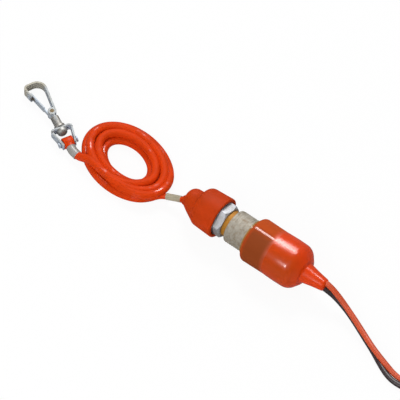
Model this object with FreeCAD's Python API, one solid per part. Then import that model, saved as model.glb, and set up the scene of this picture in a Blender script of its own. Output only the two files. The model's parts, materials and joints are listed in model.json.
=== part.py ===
"""Outboard kill switch: panel switch with a pull-off cap, a coiled lanyard and a snap hook.

Millimetres. Lengths along the switch are counted from the panel seat, with plus towards the leads.
The finished model stands on z = 0, with its origin under the middle of the switch itself.
"""
import FreeCAD, Part
import math
import os

# Switch body, from the photograph: the boot's 25 mm sets the scale
boot_diameter = 25.0
boot_length = 33.7
boot_wall = 1.6
boot_front_wall = 1.5
boot_front_round_share = 0.96
boot_lip_height = 0.9
boot_lip_length = 1.0
boot_lip_round = 0.3
dome_length = 3.9
dome_round = 6.5
dome_rear_diameter = 15.0
dome_rear_round = 1.6
relief_length = 11.0
relief_root_diameter = 11.0
relief_end_diameter = 6.9
relief_step = 0.6
relief_root_round = 0.8
relief_end_round = 0.6

# Bushing that the panel nut clamps
barrel_diameter = 18.1
barrel_length = 12.4
neck_diameter = 14.4
neck_length = 2.6
front_thread_diameter = 14.0
front_thread_length = 9.2
nose_diameter = 12.0
nose_length = 2.6
nose_groove_depth = 0.25
nose_groove_width = 1.1
edge_chamfer = 0.5
flange_thickness = 2.0

# Panel nut
nut_sides = 6
nut_across_flats = 16.3
nut_thickness = 6.6
nut_seat_gap = 0.25
nut_chamfer_slope = 0.9
nut_turn = 10.0

# Switch can and what it holds
can_wall = 0.6
can_length = 22.4
can_crimp_overlap = 0.4
can_round = 0.4
liner_wall = 0.4
base_thickness = 3.0
base_boss_diameter = 8.4
base_boss_length = 4.0
base_boss_round = 0.4
guide_depth = 1.8
blade_width = 5.0
blade_thickness = 0.7
blade_gap = 0.27
blade_reach = 1.6
tag_length = 3.4
tag_hole_diameter = 1.6
lead_bend_room = 3.4

# Plunger
plunger_diameter = 7.8
plunger_tip_overhang = 2.0
plunger_tip_round = 1.2
plunger_travel = 3.0
contact_gap_closed = 0.1
collar_diameter = 12.4
collar_thickness = 2.0
collar_round = 0.3
stem_diameter = 5.0
stem_tail_length = 11.0
bridge_thickness = 0.8
clip_diameter = 9.2
clip_thickness = 0.6
clip_mouth = 3.6
spring_wire_diameter = 0.8
spring_mean_diameter = 11.0
spring_turns = 5.0
o_ring_section = 1.6
o_ring_place = 6.0

# Kill cap
cap_mouth_place = -6.9
cap_mouth_diameter = 22.8
cap_shoulder_diameter = 21.2
cap_drum_length = 14.6
cap_wall = 1.0
cap_shoulder_round = 3.6
cap_mouth_round = 0.6
cap_root_diameter = 12.6
cap_root_round = 0.9
cap_knob_diameter = 11.8
cap_knob_length = 8.4
cap_knob_round = 4.6
insert_skirt_length = 4.2
insert_floor = 0.9
insert_round = 0.4
snap_wire_diameter = 0.8
snap_gap_angle = 40.0
boss_root_diameter = 10.6
boss_end_diameter = 4.4
boss_reach = 7.0

# Lanyard
cord_diameter = 4.5
core_diameter = 3.0
anchor_diameter = 6.4
anchor_length = 3.6
anchor_set_back = 1.0
anchor_drop = 0.3
exit_length = 10.0
exit_fall_angle = 23.64
exit_side_angle = 6.77
sleeve_wall = 0.25
cap_sleeve_shares = (0.3, 0.66)
hook_sleeve_shares = (0.14, 0.95)
coil_outer_length = 56.2
coil_outer_width = 39.4
coil_hole_length = 25.8
coil_hole_width = 16.1
coil_height = 8.6
coil_edge_round = 3.0
coil_centre = (-70.8, 2.5)
coil_turn = -11.0

# Snap hook, swivel and bow
hook_place = (-107.5, -4.2)
hook_turn = 153.0
hook_height = 3.1
strip_width = 5.0
strip_thickness = 1.0
hook_far_corner = (33.4, -3.8)
hook_near_corner = (32.6, 7.3)
hook_tip = (25.6, 5.7)
hook_far_bend = 5.0
hook_near_bend = 1.8
knuckle_place = 13.3
knuckle_diameter = 4.4
knuckle_share = 2.4
gate_thickness = 0.7
gate_width = 4.2
gate_neck_length = 3.6
gate_neck_overlap = 1.0
gate_end = 27.8
gate_slope = 0.236
hook_pin_diameter = 2.2
post_diameter = 4.4
post_gap = 0.6
post_round = 0.4
tab_length = 4.0
stem_hole_diameter = 3.0
collar_ring_diameter = 5.8
collar_ring_length = 1.6
collar_ring_round = 0.3
swivel_head_diameter = 5.6
swivel_head_length = 3.0
swivel_head_flat = 1.6
bow_crown = 2.5
bow_width = 4.4
bow_thickness = 1.0
bow_crown_half = 5.7
bow_end_half = 3.2
bow_bend = 1.3
bow_pin_place = -6.3
bow_pin_diameter = 2.0
bow_pin_head_diameter = 3.2
bow_pin_head_length = 0.6
eye_diameter = 5.8
eye_width = 5.2
eye_tail_length = 3.2
eye_tail_diameter = 4.6

# Leads
lead_diameter = 3.0
lead_spacing = 3.3
terminal_hole_diameter = 5.3
terminal_ring_diameter = 8.4
terminal_thickness = 0.8
terminal_barrel_diameter = 3.6
terminal_barrel_length = 5.0
terminal_tongue_length = 7.5
terminal_tongue_width = 3.2
terminal_sleeve_diameter = 4.4
terminal_sleeve_length = 7.0

# Share of a run that each bend of a cord may take
bend_share = 0.45

# Clearances
running_clearance = 0.06
fit_clearance = 0.05
loose_clearance = 0.3
same_place = 1e-6

# Places along the switch that several pieces share
axis_height = boot_diameter / 2
boot_front = barrel_length
boot_mouth = barrel_diameter / 2 + fit_clearance
lip_radius = boot_mouth + boot_lip_height
boot_rear = boot_front + boot_length
relief_end = boot_rear + relief_length
can_front = boot_front + boot_front_wall
can_outer = boot_diameter / 2 - boot_wall - fit_clearance
can_inner = can_outer - can_wall
flange_radius = can_inner - loose_clearance
flange_front = can_front + can_wall
flange_rear = flange_front + flange_thickness
collar_front = flange_rear + plunger_travel + contact_gap_closed
collar_rear = collar_front + collar_thickness
bridge_rear = collar_rear + bridge_thickness
can_rear = can_front + can_length
base_rear = can_rear - can_wall
base_front = base_rear - base_thickness
boss_front = base_front - base_boss_length
blade_tip_rear = collar_rear - plunger_travel - contact_gap_closed
liner_outer = can_inner - fit_clearance
liner_inner = liner_outer - liner_wall
blade_offset = math.sqrt((liner_inner - blade_gap) ** 2 - blade_width ** 2 / 4) - blade_thickness
bridge_radius = blade_offset - loose_clearance
thread_front = -neck_length - front_thread_length
bushing_front = thread_front - nose_length
bore_radius = plunger_diameter / 2 + running_clearance
plunger_front = bushing_front - plunger_tip_overhang
nut_rear = -neck_length - nut_seat_gap
nut_front = nut_rear - nut_thickness
cap_shoulder = cap_mouth_place - cap_drum_length
cap_inner = cap_shoulder_diameter / 2 - cap_wall
insert_front = plunger_front - fit_clearance
cap_floor = insert_front - insert_floor
anchor_limit = cap_floor + insert_floor / 2
snap_place = thread_front - nose_length / 2
knob_front = cap_shoulder - cap_knob_length
tab_front = knuckle_place - knuckle_diameter / 2 - tab_length

# Way that the lanyard takes through the knob: it leans down and a little to the front
exit_fall = math.radians(exit_fall_angle)
exit_side = math.radians(exit_side_angle)
exit_lean = FreeCAD.Vector(-math.cos(exit_fall) * math.cos(exit_side),
                           -math.cos(exit_fall) * math.sin(exit_side), -math.sin(exit_fall))
exit_inner = FreeCAD.Vector(cap_shoulder - anchor_set_back, 0, -anchor_drop)
boss_tilt = math.acos(-exit_lean.x)
cap_reach = exit_inner.x + exit_lean.x * exit_length - math.sin(boss_tilt) * boss_end_diameter / 2
object_middle = (cap_reach + relief_end) / 2

# Routes, from the panel seat and the floor; each corner becomes a tangent arc
cap_tail_route = [
    (-31.6, -1.08, 8.19), (-35.24, -1.51, 6.59), (-43.8, -4.2, 4.6), (-48.8, -8.2, 3.6),
]
hook_tail_route = [
    (-80.0, -14.6, 2.4), (-84.8, -13.2, 2.4), (-88.8, -11.7, 2.7), (-92.4, -10.5, 2.95),
    (-96.452, -9.83, 3.1), (-99.017, -8.522, 3.1),
]
red_lead_route = [
    (57.1, 1.65, 12.5), (62.0, 1.65, 12.5), (68.6, 0.35, 10.4), (75.2, -1.6, 7.9), (82.6, -4.2, 5.7),
    (90.6, -7.5, 4.6), (99.0, -11.2, 4.6), (107.6, -13.6, 3.4), (115.8, -15.5, 1.6), (122.8, -15.4, 1.5),
    (129.0, -13.0, 1.5), (133.6, -8.6, 1.5), (135.8, -2.8, 1.5), (135.4, 3.7, 1.5), (132.8, 9.8, 1.5),
    (128.4, 16.6, 1.5), (123.4, 23.4, 1.6), (120.0, 31.0, 2.4), (120.0, 38.6, 2.4),
]
black_lead_route = [
    (57.1, -1.65, 12.5), (62.0, -1.65, 12.5), (68.0, -2.75, 8.8), (74.8, -3.6, 4.7), (82.0, -5.0, 2.5),
    (90.2, -8.2, 1.5), (98.6, -12.0, 1.5), (106.6, -16.0, 1.5), (114.8, -18.8, 1.5), (123.4, -18.8, 1.5),
    (130.8, -16.0, 1.5), (136.3, -10.6, 1.5), (139.2, -3.7, 1.5), (139.0, 3.8, 1.5), (136.2, 11.0, 1.5),
    (131.8, 18.4, 1.5), (129.6, 26.6, 1.6), (129.0, 35.0, 2.4), (129.0, 43.4, 2.4),
]


def rounded_edges(points, radii, closed):
    """Straight runs joined by tangent arcs, with one radius for each point."""
    count = len(points)
    corners = []
    for index, radius in enumerate(radii):
        point = points[index]
        if radius == 0:
            corners.append((point, None, point))
            continue
        back = (points[index - 1] - point).normalize()
        ahead = (points[(index + 1) % count] - point).normalize()
        half = back.getAngle(ahead) / 2
        reach = radius / math.tan(half)
        middle = point + (back + ahead).normalize() * (radius / math.sin(half) - radius)
        corners.append((point + back * reach, middle, point + ahead * reach))
    edges = []
    for index, (start, middle, end) in enumerate(corners):
        if middle is not None:
            edges.append(Part.Arc(start, middle, end).toShape())
        if index == count - 1 and not closed:
            break
        following = corners[(index + 1) % count][0]
        if end.distanceToPoint(following) > same_place:
            edges.append(Part.LineSegment(end, following).toShape())
    return edges


def turned(profile):
    """Solid turned about the switch's axis; each corner is (place, radius, rounding)."""
    points = [FreeCAD.Vector(place, radius, 0) for place, radius, _ in profile]
    wire = Part.Wire(rounded_edges(points, [rounding for _, _, rounding in profile], True))
    return Part.Face(wire).revolve(FreeCAD.Vector(), FreeCAD.Vector(1, 0, 0), 360)


def rod(start, end, radius):
    """Plain round rod between two places on the switch's axis."""
    return Part.makeCylinder(radius, end - start, FreeCAD.Vector(start, 0, 0), FreeCAD.Vector(1, 0, 0))


def plate(low, high):
    """Box between two opposite corners."""
    size = [above - below for below, above in zip(low, high)]
    return Part.makeBox(*size, FreeCAD.Vector(*low))


def seated(shape):
    """Moves a shape from the panel seat's frame to the finished frame."""
    moved = shape.copy()
    moved.translate(FreeCAD.Vector(-object_middle, 0, axis_height))
    return moved


def route_points(route):
    """Route points in the finished frame."""
    return [FreeCAD.Vector(x - object_middle, y, z) for x, y, z in route]


def bend_radii(points):
    """Largest arc that each corner of a route has room for."""
    radii = [0]
    for before, corner, after in zip(points, points[1:], points[2:]):
        run = min(before.distanceToPoint(corner), corner.distanceToPoint(after))
        turn = (corner - before).getAngle(after - corner)
        radii.append(bend_share * run / math.tan(turn / 2))
    return radii + [0]


def tube(points, radii, radius):
    """Round tube along a route."""
    path = Part.Wire(rounded_edges(points, radii, False))
    ring = Part.Wire(Part.Circle(points[0], points[1] - points[0], radius).toShape())
    return path.makePipeShell([ring], True, False), path.Length


def cord(name, route, diameter):
    """Cord tube, with its bends and the test of its volume printed."""
    points = route_points(route)
    radii = bend_radii(points)
    radius = diameter / 2
    solid, length = tube(points, radii, radius)
    share = solid.Volume / (math.pi * radius ** 2 * length)
    bends = ", ".join(f"{value:.1f}" for value in radii[1:-1])
    print(f"{name}: length {length:.1f}, volume share {share:.4f}, bend radii {bends}")
    return solid


def strip(points, radii, thickness, width):
    """Flat strip bent along a level path, with its width upright."""
    path_points = [FreeCAD.Vector(u, v, 0) for u, v in points]
    path = Part.Wire(rounded_edges(path_points, radii, False))
    along = (path_points[1] - path_points[0]).normalize()
    across = FreeCAD.Vector(-along.y, along.x, 0) * (thickness / 2)
    up = FreeCAD.Vector(0, 0, width / 2)
    first = path_points[0]
    corners = [first - across - up, first + across - up, first + across + up, first - across + up]
    section = Part.makePolygon(corners + corners[:1])
    return path.makePipeShell([section], True, False)


def upright(u, v, radius, low, high):
    """Upright round rod in the hook's or a terminal's own frame."""
    return Part.makeCylinder(radius, high - low, FreeCAD.Vector(u, v, low))


def crosswise(u, half, radius):
    """Round rod across the hook's own axis."""
    return Part.makeCylinder(radius, 2 * half, FreeCAD.Vector(u, -half, 0), FreeCAD.Vector(0, 1, 0))


def hooked(shape):
    """Moves a shape from the hook's own frame to the finished frame."""
    moved = shape.copy()
    place = FreeCAD.Vector(hook_place[0] - object_middle, hook_place[1], hook_height)
    turn = FreeCAD.Rotation(FreeCAD.Vector(0, 0, 1), hook_turn)
    moved.Placement = FreeCAD.Placement(place, turn).multiply(moved.Placement)
    return moved


def lead_bores(start, end):
    """The two holes that the leads pass through."""
    bores = []
    for side in (-1, 1):
        bore = rod(start, end, lead_diameter / 2 + fit_clearance)
        bore.translate(FreeCAD.Vector(0, side * lead_spacing / 2, 0))
        bores.append(bore)
    return bores


def rubber_boot():
    """Moulded boot: lipped front, round body, domed rear and tapered strain relief."""
    outer = boot_diameter / 2
    inner = can_outer + fit_clearance
    cavity_end = boot_rear - boot_wall
    solid = turned([
        (boot_front - boot_lip_length, boot_mouth, 0),
        (boot_front - boot_lip_length, lip_radius, boot_lip_round),
        (boot_front, lip_radius, 0),
        (boot_front, outer, boot_front_round_share * (outer - lip_radius)),
        (boot_rear - dome_length, outer, dome_round),
        (boot_rear, dome_rear_diameter / 2, dome_rear_round),
        (boot_rear + relief_step, relief_root_diameter / 2, relief_root_round),
        (relief_end, relief_end_diameter / 2, relief_end_round),
        (relief_end, 0, 0),
        (cavity_end, 0, 0),
        (cavity_end, lead_spacing / 2 + lead_diameter / 2 + loose_clearance, 0),
        (base_rear + tag_length + loose_clearance, can_inner, 0),
        (can_rear + loose_clearance, can_inner, 0),
        (can_rear + loose_clearance, inner, 0),
        (can_front, inner, 0),
        (can_front, boot_mouth, 0),
    ])
    return solid.cut(lead_bores(cavity_end - boot_wall, relief_end + loose_clearance))


def threaded_bushing():
    """Turned bushing: nose, front thread, panel neck, barrel and inner flange."""
    nose = nose_diameter / 2
    groove = nose - nose_groove_depth
    groove_front_edge = snap_place - nose_groove_width / 2
    groove_rear_edge = snap_place + nose_groove_width / 2
    return turned([
        (bushing_front, bore_radius, 0),
        (bushing_front, nose - edge_chamfer, 0),
        (bushing_front + edge_chamfer, nose, 0),
        (groove_front_edge, nose, 0),
        (groove_front_edge, groove, 0),
        (groove_rear_edge, groove, 0),
        (groove_rear_edge, nose, 0),
        (thread_front, nose, 0),
        (thread_front, front_thread_diameter / 2 - edge_chamfer, 0),
        (thread_front + edge_chamfer, front_thread_diameter / 2, 0),
        (-neck_length, front_thread_diameter / 2, 0),
        (-neck_length, neck_diameter / 2, 0),
        (0, neck_diameter / 2, 0),
        (0, barrel_diameter / 2 - edge_chamfer, 0),
        (edge_chamfer, barrel_diameter / 2, 0),
        (flange_front, barrel_diameter / 2, 0),
        (flange_front, flange_radius, 0),
        (flange_rear, flange_radius, 0),
        (flange_rear, bore_radius, 0),
    ])


def panel_nut():
    """Hexagon nut with both faces chamfered at the corners."""
    corner = nut_across_flats / 2 / math.cos(math.pi / nut_sides)
    points = []
    for index in range(nut_sides + 1):
        angle = (2 * index + 1) * math.pi / nut_sides + math.radians(nut_turn)
        points.append(FreeCAD.Vector(nut_front, corner * math.cos(angle), corner * math.sin(angle)))
    prism = Part.Face(Part.makePolygon(points)).extrude(FreeCAD.Vector(nut_thickness, 0, 0))
    face = nut_across_flats / 2
    chamfer = nut_chamfer_slope * (corner - face)
    hole = front_thread_diameter / 2 + fit_clearance
    round_blank = turned([
        (nut_front, hole, 0),
        (nut_front, face, 0),
        (nut_front + chamfer, corner, 0),
        (nut_rear - chamfer, corner, 0),
        (nut_rear, face, 0),
        (nut_rear, hole, 0),
    ])
    return prism.common(round_blank)


def switch_can():
    """Drawn can: pierced front wall, tube and a lip crimped over the base."""
    lip = can_inner - can_crimp_overlap
    return turned([
        (can_front, boot_mouth, 0),
        (can_front, can_outer, can_round),
        (can_rear, can_outer, can_round),
        (can_rear, lip, 0),
        (base_rear, lip, 0),
        (base_rear, can_inner, 0),
        (flange_front, can_inner, 0),
        (flange_front, boot_mouth, 0),
    ])


def insulating_liner():
    """Thin tube that keeps the blades off the can."""
    return rod(flange_rear, base_front, liner_outer).cut(rod(flange_rear, base_front, liner_inner))


def blade(side):
    """Contact blade: foot in front of the bridge, leg along the can and tag behind the base."""
    inner, outer = blade_offset, blade_offset + blade_thickness
    half = blade_width / 2
    tag_end = base_rear + tag_length
    tip_front = blade_tip_rear - blade_thickness
    leg = plate((tip_front, inner, -half), (tag_end, outer, half))
    foot = plate((tip_front, inner - blade_reach, -half), (blade_tip_rear, outer, half))
    hole = Part.makeCylinder(tag_hole_diameter / 2, blade_thickness * 2,
                             FreeCAD.Vector(tag_end - tag_hole_diameter, inner - blade_thickness / 2, 0),
                             FreeCAD.Vector(0, 1, 0))
    shape = leg.fuse(foot).removeSplitter().cut(hole)
    return shape if side > 0 else shape.mirror(FreeCAD.Vector(), FreeCAD.Vector(0, 1, 0))


def terminal_base():
    """Moulded disc with the spring boss, the plunger's guide hole and the blades' slots."""
    guide = stem_diameter / 2 + running_clearance
    guide_end = base_front + guide_depth
    half = blade_width / 2 + fit_clearance
    disc = turned([
        (boss_front, guide, 0),
        (boss_front, base_boss_diameter / 2, base_boss_round),
        (base_front, base_boss_diameter / 2, 0),
        (base_front, can_inner - fit_clearance, 0),
        (base_rear, can_inner - fit_clearance, 0),
        (base_rear, 0, 0),
        (guide_end, 0, 0),
        (guide_end, guide, 0),
    ])
    for side in (-1, 1):
        near, far = blade_offset - fit_clearance, blade_offset + blade_thickness + fit_clearance
        low, high = sorted((side * near, side * far))
        disc = disc.cut(plate((base_front, low, -half), (base_rear, high, half)))
    return disc


def plunger():
    """Stepped plunger: rounded tip, sealing groove, stop collar and guided tail."""
    stem = stem_diameter / 2
    body = plunger_diameter / 2
    groove = bore_radius - running_clearance - o_ring_section
    tail_end = bridge_rear + stem_tail_length
    clip_front = bridge_rear + fit_clearance
    clip_rear = clip_front + clip_thickness + fit_clearance
    return turned([
        (plunger_front, 0, 0),
        (plunger_front, body, plunger_tip_round),
        (o_ring_place - o_ring_section, body, 0),
        (o_ring_place - o_ring_section, groove, 0),
        (o_ring_place + o_ring_section, groove, 0),
        (o_ring_place + o_ring_section, body, 0),
        (collar_front, body, 0),
        (collar_front, collar_diameter / 2, collar_round),
        (collar_rear, collar_diameter / 2, 0),
        (collar_rear, stem, 0),
        (clip_front, stem, 0),
        (clip_front, stem - clip_thickness, 0),
        (clip_rear, stem - clip_thickness, 0),
        (clip_rear, stem, 0),
        (tail_end, stem, edge_chamfer),
        (tail_end, 0, 0),
    ])


def ring(place, middle_radius, section_radius):
    """Round ring about the switch's axis."""
    centre = FreeCAD.Vector(place, 0, 0)
    return Part.makeTorus(middle_radius, section_radius, centre, FreeCAD.Vector(1, 0, 0))


def plunger_o_ring():
    """Seal in the plunger's groove."""
    return ring(o_ring_place, bore_radius - running_clearance / 2 - o_ring_section / 2, o_ring_section / 2)


def contact_bridge():
    """Brass washer that joins the two blades when the plunger comes forward."""
    hole = rod(collar_rear, bridge_rear, stem_diameter / 2 + fit_clearance)
    return rod(collar_rear, bridge_rear, bridge_radius).cut(hole)


def retaining_clip():
    """Open clip that holds the bridge against the collar."""
    front = bridge_rear + fit_clearance
    rear = front + clip_thickness
    hole = rod(front, rear, stem_diameter / 2 - clip_thickness + fit_clearance)
    mouth = plate((front, -clip_mouth / 2, 0), (rear, clip_mouth / 2, clip_diameter))
    return rod(front, rear, clip_diameter / 2).cut([hole, mouth])


def return_spring():
    """Coil spring from the bridge to the base."""
    start = bridge_rear + spring_wire_diameter / 2 + fit_clearance
    end = base_front - spring_wire_diameter / 2 - fit_clearance
    middle = spring_mean_diameter / 2
    helix = Part.makeHelix((end - start) / spring_turns, end - start, middle)
    wire = Part.Wire(Part.Circle(FreeCAD.Vector(middle, 0, 0), FreeCAD.Vector(0, 1, 0),
                                 spring_wire_diameter / 2).toShape())
    spring = Part.Wire(helix.Edges).makePipeShell([wire], True, True)
    spring.rotate(FreeCAD.Vector(), FreeCAD.Vector(0, 1, 0), 90)
    spring.translate(FreeCAD.Vector(start, 0, 0))
    return spring


def exit_point(distance):
    """Place on the lanyard's way through the knob."""
    return exit_inner + exit_lean * distance


def exit_rod(start, end, radius):
    """Round rod on the lanyard's way through the knob."""
    return Part.makeCylinder(radius, end - start, exit_point(start), exit_lean)


def anchor_pocket():
    """Room for the crimped stop, behind the lanyard's bore."""
    return exit_rod(-anchor_length * 2, anchor_length / 2, anchor_diameter / 2 + fit_clearance)


def cap_shell():
    """Soft cap: open flared drum, round knob and a leaning boss for the lanyard."""
    shell = turned([
        (cap_mouth_place, cap_inner, 0),
        (cap_mouth_place, cap_mouth_diameter / 2, cap_mouth_round),
        (cap_shoulder, cap_shoulder_diameter / 2, cap_shoulder_round),
        (cap_shoulder, cap_root_diameter / 2, cap_root_round),
        (knob_front, cap_knob_diameter / 2, cap_knob_round),
        (knob_front, 0, 0),
        (cap_floor, 0, 0),
        (cap_floor, cap_inner, 0),
    ])
    boss = Part.makeCone(boss_root_diameter / 2, boss_end_diameter / 2, boss_reach,
                         exit_point(exit_length - boss_reach), exit_lean)
    bore = exit_rod(0, exit_length + loose_clearance, core_diameter / 2 + fit_clearance)
    return shell.fuse(boss).cut([bore, anchor_pocket()])


def cap_insert():
    """Rigid cup in the cap: its floor presses the plunger, its skirt guides on the bushing's nose."""
    skirt_rear = insert_front + insert_skirt_length
    guide = nose_diameter / 2 + 2 * fit_clearance
    seat_front = snap_place - snap_wire_diameter / 2
    seat_rear = snap_place + snap_wire_diameter / 2
    cup = turned([
        (cap_floor, 0, 0),
        (cap_floor, cap_inner - fit_clearance, 0),
        (skirt_rear, cap_inner - fit_clearance, insert_round),
        (skirt_rear, guide, insert_round),
        (seat_rear, guide, 0),
        (seat_rear, guide + snap_wire_diameter, 0),
        (seat_front, guide + snap_wire_diameter, 0),
        (seat_front, guide, 0),
        (insert_front, guide, 0),
        (insert_front, 0, 0),
    ])
    return cup.cut(anchor_pocket().common(rod(knob_front, anchor_limit, cap_inner)))


def snap_ring():
    """Open wire ring in the insert, drawn spread as it passes over the nose."""
    section = snap_wire_diameter / 2 - fit_clearance
    middle = nose_diameter / 2 + fit_clearance + section
    half_gap = middle * math.tan(math.radians(snap_gap_angle / 2))
    gap = plate((snap_place - snap_wire_diameter, -half_gap, 0),
                (snap_place + snap_wire_diameter, half_gap, nose_diameter))
    return ring(snap_place, middle, section).cut(gap)


def cord_anchor():
    """Crimped stop on the lanyard's end, with the stretch of cord inside the knob."""
    stop = exit_rod(-anchor_length / 2, anchor_length / 2, anchor_diameter / 2)
    inside = rod(knob_front, anchor_limit - fit_clearance, cap_inner)
    return stop.common(inside).fuse(exit_rod(0, exit_length - fit_clearance, core_diameter / 2))


def oval(length, width):
    """Upright oval block as high as the coil."""
    ellipse = Part.Ellipse(FreeCAD.Vector(), length / 2, width / 2).toShape()
    return Part.Face(Part.Wire(ellipse)).extrude(FreeCAD.Vector(0, 0, coil_height))


def lanyard_coil():
    """Outer shape of the coiled turns: an oval ring with round edges."""
    coil = oval(coil_outer_length, coil_outer_width).cut(oval(coil_hole_length, coil_hole_width))
    level = [edge for edge in coil.Edges if edge.BoundBox.ZLength < same_place]
    coil = coil.makeFillet(coil_edge_round, level)
    coil.rotate(FreeCAD.Vector(), FreeCAD.Vector(0, 0, 1), coil_turn)
    coil.translate(FreeCAD.Vector(coil_centre[0] - object_middle, coil_centre[1], 0))
    return coil


def sleeve(route, shares, diameter):
    """Sleeve over the middle of a route, from a share of its first run to a share of its last."""
    first_share, last_share = shares
    points = route_points(route)
    radii = bend_radii(points)
    points[0] = points[0] + (points[1] - points[0]) * first_share
    points[-1] = points[-2] + (points[-1] - points[-2]) * last_share
    outside, _ = tube(points, radii, diameter / 2 + sleeve_wall)
    inside, _ = tube(points, radii, diameter / 2)
    return outside.cut(inside)


def hook_strip():
    """Bent hook: two hinge knuckles, straight back, bow, turned tip and the tab in the post."""
    radius = knuckle_diameter / 2
    middle = radius - strip_thickness / 2
    half = strip_width / 2
    share = knuckle_share / 2 + fit_clearance
    path = [(knuckle_place, -middle), hook_far_corner, hook_near_corner, hook_tip]
    band = strip(path, [0, hook_far_bend, hook_near_bend, 0], strip_thickness, strip_width)
    barrel = upright(knuckle_place, 0, radius, -half, half)
    tab = plate((tab_front, -strip_thickness / 2, -post_diameter / 2),
                (knuckle_place - middle, strip_thickness / 2, post_diameter / 2))
    whole = band.fuse([barrel, tab])
    gate_room = upright(knuckle_place, 0, radius + fit_clearance * 3, -share, share)
    pin_hole = upright(knuckle_place, 0, hook_pin_diameter / 2, -half, half)
    return whole.cut([gate_room, pin_hole])


def gate_leaf():
    """Spring gate: one knuckle between the hook's two, a narrow neck and a wide leaf."""
    radius = knuckle_diameter / 2
    middle = radius - gate_thickness / 2
    neck_end = knuckle_place + gate_neck_length
    neck_reach = gate_neck_length + gate_neck_overlap
    neck = strip([(knuckle_place, middle), (knuckle_place + neck_reach, middle + gate_slope * neck_reach)],
                 [0, 0], gate_thickness, knuckle_share)
    leaf = strip([(neck_end, middle + gate_slope * gate_neck_length),
                  (gate_end, middle + gate_slope * (gate_end - knuckle_place))],
                 [0, 0], gate_thickness, gate_width)
    knuckle = upright(knuckle_place, 0, radius, -knuckle_share / 2, knuckle_share / 2)
    bore = upright(knuckle_place, 0, hook_pin_diameter / 2 + running_clearance,
                   -knuckle_share / 2, knuckle_share / 2)
    return knuckle.fuse([neck, leaf]).cut(bore)


def gate_pin():
    """Pin through the knuckles."""
    return upright(knuckle_place, 0, hook_pin_diameter / 2, -strip_width / 2, strip_width / 2)


def swivel_post():
    """Turned post: slotted shank, collar, stem through the bow and a domed head."""
    crown_front = bow_crown + bow_thickness / 2
    crown_back = bow_crown - bow_thickness / 2
    collar_end = crown_front + running_clearance + collar_ring_length
    shank_end = knuckle_place - knuckle_diameter / 2 - post_gap
    head_end = crown_back - running_clearance
    head_start = head_end - swivel_head_length
    head_round = (swivel_head_diameter - swivel_head_flat) / 2
    profile = [
        (head_start, 0, 0),
        (head_start, swivel_head_diameter / 2, head_round),
        (head_end, swivel_head_diameter / 2, 0),
        (head_end, stem_hole_diameter / 2 - running_clearance, 0),
        (crown_front + running_clearance, stem_hole_diameter / 2 - running_clearance, 0),
        (crown_front + running_clearance, collar_ring_diameter / 2, collar_ring_round),
        (collar_end, collar_ring_diameter / 2, collar_ring_round),
        (collar_end, post_diameter / 2, 0),
        (shank_end, post_diameter / 2, post_round),
        (shank_end, 0, 0),
    ]
    slot = plate((tab_front - fit_clearance, -strip_thickness / 2, -post_diameter),
                 (shank_end, strip_thickness / 2, post_diameter))
    return turned(profile).cut(slot)


def swivel_bow():
    """Bent strip bow: crown with the swivel hole and two arms that close in on the pin."""
    arm_end = bow_pin_place - bow_width / 2
    band = strip([(arm_end, -bow_end_half), (bow_crown, -bow_crown_half),
                  (bow_crown, bow_crown_half), (arm_end, bow_end_half)],
                 [0, bow_bend, bow_bend, 0], bow_thickness, bow_width)
    stem_hole = rod(bow_crown - bow_thickness, bow_crown + bow_thickness, stem_hole_diameter / 2)
    pin_hole = crosswise(bow_pin_place, bow_crown_half * 2, bow_pin_diameter / 2)
    return band.cut([stem_hole, pin_hole])


def bow_pin():
    """Headed pin across the bow's arms."""
    slope = (bow_crown_half - bow_end_half) / (bow_crown - bow_pin_place + bow_width / 2)
    arm_half = bow_thickness / 2 * math.hypot(1, slope)
    outside = bow_end_half + slope * (bow_width + bow_pin_head_diameter) / 2 + arm_half + fit_clearance
    shaft = crosswise(bow_pin_place, outside, bow_pin_diameter / 2)
    heads = []
    for side in (-1, 1):
        start = FreeCAD.Vector(bow_pin_place, side * outside, 0)
        heads.append(Part.makeCylinder(bow_pin_head_diameter / 2, bow_pin_head_length, start,
                                       FreeCAD.Vector(0, side, 0)))
    return shaft.fuse(heads)


def lanyard_eye():
    """Moulded eye on the lanyard's end, turning on the bow's pin."""
    barrel = crosswise(bow_pin_place, eye_width / 2, eye_diameter / 2)
    tail = rod(bow_pin_place - eye_tail_length, bow_pin_place, eye_tail_diameter / 2)
    bore = crosswise(bow_pin_place, eye_width, bow_pin_diameter / 2 + running_clearance)
    return barrel.fuse(tail).cut(bore)


def inner_lead(side):
    """Lead inside the boot, from the blade's tag to the end of the strain relief."""
    tag_side = blade_offset - lead_diameter / 2 - fit_clearance
    points = [
        FreeCAD.Vector(base_rear + fit_clearance, side * tag_side, 0),
        FreeCAD.Vector(base_rear + lead_diameter, side * tag_side, 0),
        FreeCAD.Vector(boot_rear - boot_wall - lead_bend_room, side * lead_spacing / 2, 0),
        FreeCAD.Vector(relief_end - fit_clearance, side * lead_spacing / 2, 0),
    ]
    solid, _ = tube(points, bend_radii(points), lead_diameter / 2)
    return solid


def terminal_frame(route):
    """Placement at a lead's end: its own X runs on along the lead."""
    points = route_points(route)
    ahead = points[-1] - points[-2]
    heading = math.degrees(math.atan2(ahead.y, ahead.x))
    return FreeCAD.Placement(points[-1], FreeCAD.Rotation(FreeCAD.Vector(0, 0, 1), heading))


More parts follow.
